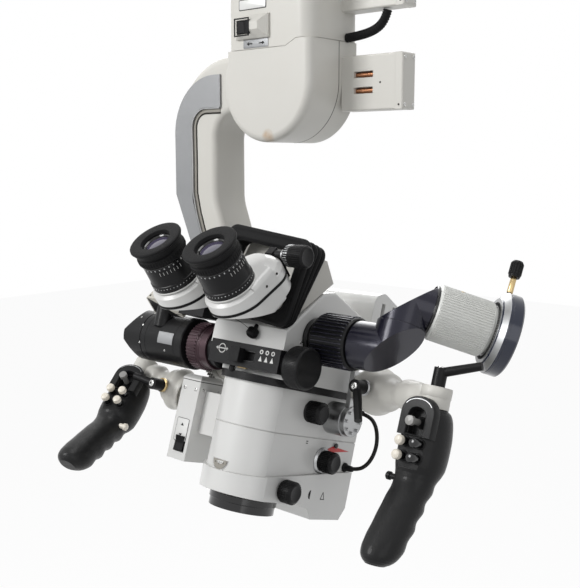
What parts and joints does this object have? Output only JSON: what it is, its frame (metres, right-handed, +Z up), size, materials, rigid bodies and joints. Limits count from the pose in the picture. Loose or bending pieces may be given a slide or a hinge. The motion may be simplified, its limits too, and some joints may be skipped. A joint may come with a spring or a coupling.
{
  "type": "surgical microscope head on balancing arm",
  "caption": "Surgical microscope head with tilting binocular, camera adapter, periscope side port and two grips, on a curved arm swung from a housing with a bolted top flange.",
  "frame": {"origin": "centre of the top flange's upper face, where the housing bolts to its stand", "axes": "+X to the surgeon's right, -Y towards the surgeon, +Z up; the arm swings about Y"},
  "size_m": [0.4466, 0.3077, 0.5841],
  "materials": {
    "cream_paint": "satin",
    "white_paint": "gloss",
    "box_cream": "satin",
    "bare_metal": "satin",
    "steel": "brushed",
    "black_anodised": "satin",
    "black_plastic": "matte",
    "black_rubber": "matte",
    "purple_ring": "satin",
    "blue_ring": "gloss",
    "blue_violet": "satin",
    "coated_glass": "gloss"
  },
  "bodies": {
    "root": {"top_casting": "cream_paint", "front_cover": "cream_paint", "rear_shell": "cream_paint", "swing_axle": "steel", "side_boxes": "cream_paint", "conduit": "black_rubber"},
    "balance_switch": {"balance_rocker": "black_plastic"},
    "arm": {"swing_arm": "cream_paint", "arm_inlay": "bare_metal", "tilt_wheel": "steel"},
    "head": {"carrier_base": "white_paint", "carrier_body": "white_paint", "objective_ring": "black_anodised", "objective_lens": "coated_glass", "drive_box": "white_paint", "dovetail_ring": "black_anodised", "head_bracket": "white_paint", "beam_splitter": "white_paint", "lamp_housing": "white_paint", "selector_bar": "black_anodised", "handle_bracket": "bare_metal", "camera_adapter": "black_anodised", "camera_box": "box_cream", "base_flange": "black_anodised", "binocular_base": "cream_paint", "bellows": "black_rubber", "rear_lead": "black_rubber"},
    "magnification": {"magnification_knob": "black_plastic"},
    "focus": {"focus_knob": "black_plastic"},
    "aperture": {"aperture_knob": "black_plastic"},
    "drive_switch": {"drive_rocker": "black_plastic"},
    "selector": {"selector_slider": "black_plastic"},
    "camera_focus": {"focus_ring": "purple_ring"},
    "port_clamp": {"port_ring": "black_anodised"},
    "periscope_lower": {"lower_prism": "blue_violet"},
    "periscope_upper": {"upper_prism": "blue_violet", "ribbed_tube": "white_paint"},
    "port_end": {"end_ring": "blue_ring"},
    "end_screw": {"thumb_screw": "black_anodised"},
    "yoke": {"ocular_yoke": "black_anodised"},
    "left_sight": {"left_ocular": "white_paint", "left_eyepiece": "black_anodised"},
    "right_sight": {"right_ocular": "white_paint", "right_eyepiece": "black_anodised"},
    "left_cup": {"left_eyecup": "black_rubber"},
    "right_cup": {"right_eyecup": "black_rubber"},
    "spacing": {"ipd_knob": "black_plastic"},
    "left_arm": {"left_handle_arm": "cream_paint"},
    "left_arm_clamp": {"left_arm_lever": "black_plastic"},
    "left_grip_clamp": {"left_grip_lever": "black_plastic"},
    "left_handle": {"left_grip": "black_rubber"},
    "left_stick": {"left_joystick": "steel"},
    "left_keys": {"left_buttons": "white_paint"},
    "right_arm": {"right_handle_arm": "cream_paint"},
    "right_arm_clamp": {"right_arm_lever": "black_plastic"},
    "right_grip_clamp": {"right_grip_lever": "black_plastic"},
    "right_handle": {"right_grip": "black_rubber"},
    "right_stick": {"right_joystick": "steel"},
    "right_keys": {"right_buttons": "white_paint"}
  },
  "joints": [
    {"name": "arm_swing", "type": "hinge", "parent": "root", "child": "arm", "pos_m": [0, 0, -0.154], "axis": [0, 1, 0], "range_deg": [-20, 20]},
    {"name": "head_tilt", "type": "hinge", "parent": "arm", "child": "head", "pos_m": [0, 0.01359, -0.43373], "axis": [1, 0, 0], "range_deg": [-5, 45]},
    {"name": "balance_press", "type": "hinge", "parent": "root", "child": "balance_switch", "pos_m": [-0.0195, -0.0394, -0.107], "axis": [0, 0, 1], "range_deg": [-8, 8], "stiffness_Nm_per_rad": 0.3},
    {"name": "drive_press", "type": "hinge", "parent": "head", "child": "drive_switch", "pos_m": [-0.0895, -0.06317, -0.50816], "axis": [1, 0, 0], "range_deg": [-8, 8], "stiffness_Nm_per_rad": 0.3},
    {"name": "magnification_turn", "type": "hinge", "parent": "head", "child": "magnification", "pos_m": [0.048, -0.01054, -0.46269], "axis": [1, 0, 0], "range_deg": [-120, 120]},
    {"name": "focus_turn", "type": "hinge", "parent": "head", "child": "focus", "pos_m": [0.048, 0.00678, -0.51616], "axis": [1, 0, 0], "continuous": true},
    {"name": "aperture_turn", "type": "hinge", "parent": "head", "child": "aperture", "pos_m": [0.048, -0.05495, -0.52818], "axis": [1, 0, 0], "range_deg": [-90, 90]},
    {"name": "selector_shift", "type": "slide", "parent": "head", "child": "selector", "axis": [1, 0, 0], "range_m": [-0.005, 0.012]},
    {"name": "camera_focus_turn", "type": "hinge", "parent": "head", "child": "camera_focus", "pos_m": [-0.07, -0.04147, -0.40901], "axis": [1, 0, 0], "range_deg": [-90, 90]},
    {"name": "periscope_swivel", "type": "hinge", "parent": "head", "child": "periscope_lower", "pos_m": [0.07, -0.01585, -0.38842], "axis": [1, 0, 0], "range_deg": [-45, 30]},
    {"name": "port_clamp_turn", "type": "hinge", "parent": "periscope_lower", "child": "port_clamp", "pos_m": [0.07, -0.01585, -0.38842], "axis": [1, 0, 0], "range_deg": [-45, 45]},
    {"name": "periscope_turn", "type": "hinge", "parent": "periscope_lower", "child": "periscope_upper", "pos_m": [0.136, -0.00538, -0.36873], "axis": [0, 0.4695, 0.8829], "range_deg": [-18, 35]},
    {"name": "port_end_turn", "type": "hinge", "parent": "periscope_upper", "child": "port_end", "pos_m": [0.19107, 0.05029, -0.37341], "axis": [0.7314, 0.6022, -0.3202], "range_deg": [-90, 90]},
    {"name": "end_screw_turn", "type": "hinge", "parent": "port_end", "child": "end_screw", "pos_m": [0.19765, 0.05571, -0.37629], "axis": [0, 0.4695, 0.8829], "range_deg": [-360, 360]},
    {"name": "ocular_tilt", "type": "hinge", "parent": "head", "child": "yoke", "pos_m": [0, -0.0492, -0.35281], "axis": [1, 0, 0], "range_deg": [-10, 20], "deforming": ["bellows"]},
    {"name": "left_spacing_turn", "type": "hinge", "parent": "yoke", "child": "left_sight", "pos_m": [-0.034, -0.06948, -0.34599], "axis": [0, 0.5592, -0.829], "range_deg": [-8, 8]},
    {"name": "left_diopter_turn", "type": "hinge", "parent": "left_sight", "child": "left_cup", "pos_m": [-0.034, -0.13257, -0.30253], "axis": [0, 0.5592, -0.829], "range_deg": [-150, 150]},
    {"name": "right_spacing_turn", "type": "hinge", "parent": "yoke", "child": "right_sight", "pos_m": [0.034, -0.06948, -0.34599], "axis": [0, 0.5592, -0.829], "range_deg": [-8, 8]},
    {"name": "right_diopter_turn", "type": "hinge", "parent": "right_sight", "child": "right_cup", "pos_m": [0.034, -0.13257, -0.30253], "axis": [0, 0.5592, -0.829], "range_deg": [-150, 150]},
    {"name": "spacing_knob_turn", "type": "hinge", "parent": "yoke", "child": "spacing", "pos_m": [0.06, -0.05776, -0.30793], "axis": [1, 0, 0], "range_deg": [-96.1, 96.1]},
    {"name": "right_arm_turn", "type": "hinge", "parent": "head", "child": "right_arm", "pos_m": [0.062, 0.03137, -0.44372], "axis": [1, 0, 0], "range_deg": [-5, 30]},
    {"name": "right_arm_clamp_turn", "type": "hinge", "parent": "right_arm", "child": "right_arm_clamp", "pos_m": [0.0986, -0.00781, -0.42972], "axis": [0, -0.9511, 0.309], "range_deg": [-30, 30]},
    {"name": "right_grip_clamp_turn", "type": "hinge", "parent": "right_arm", "child": "right_grip_clamp", "pos_m": [0.184, -0.02064, -0.41], "axis": [0, 0.342, 0.9397], "range_deg": [-30, 30]},
    {"name": "right_grip_turn", "type": "hinge", "parent": "right_arm", "child": "right_handle", "pos_m": [0.184, -0.02474, -0.42128], "axis": [0, 0.342, 0.9397], "range_deg": [-30, 30]},
    {"name": "right_stick_tilt", "type": "hinge", "parent": "right_handle", "child": "right_stick", "pos_m": [0.184, -0.04458, -0.43779], "axis": [1, 0, 0], "range_deg": [-15, 15], "stiffness_Nm_per_rad": 0.02},
    {"name": "right_key_press", "type": "slide", "parent": "right_handle", "child": "right_keys", "axis": [0, 0.9397, -0.342], "range_m": [0, 0.002], "stiffness_N_per_m": 600},
    {"name": "left_arm_turn", "type": "hinge", "parent": "head", "child": "left_arm", "pos_m": [-0.104, -0.02916, -0.46821], "axis": [1, 0, 0], "range_deg": [-8, 30]},
    {"name": "left_arm_clamp_turn", "type": "hinge", "parent": "left_arm", "child": "left_arm_clamp", "pos_m": [-0.1268, -0.05306, -0.45603], "axis": [0, -0.9511, 0.309], "range_deg": [-30, 30]},
    {"name": "left_grip_clamp_turn", "type": "hinge", "parent": "left_arm", "child": "left_grip_clamp", "pos_m": [-0.18234, -0.02543, -0.44412], "axis": [-0.1952, 0.7427, 0.6405], "range_deg": [-30, 30]},
    {"name": "left_grip_turn", "type": "hinge", "parent": "left_arm", "child": "left_handle", "pos_m": [-0.18, -0.03434, -0.45181], "axis": [-0.1952, 0.7427, 0.6405], "range_deg": [-30, 18]},
    {"name": "left_stick_tilt", "type": "hinge", "parent": "left_handle", "child": "left_stick", "pos_m": [-0.17018, -0.06434, -0.46133], "axis": [0.9336, 0.3408, -0.1107], "range_deg": [-15, 15], "stiffness_Nm_per_rad": 0.02},
    {"name": "left_key_press", "type": "slide", "parent": "left_handle", "child": "left_keys", "axis": [-0.3006, 0.5763, -0.7599], "range_m": [0, 0.002], "stiffness_N_per_m": 600}
  ],
  "couplings": [
    {"joint": "left_spacing_turn", "follows": "right_spacing_turn", "ratio": -1},
    {"joint": "spacing_knob_turn", "follows": "right_spacing_turn", "ratio": 12}
  ]
}
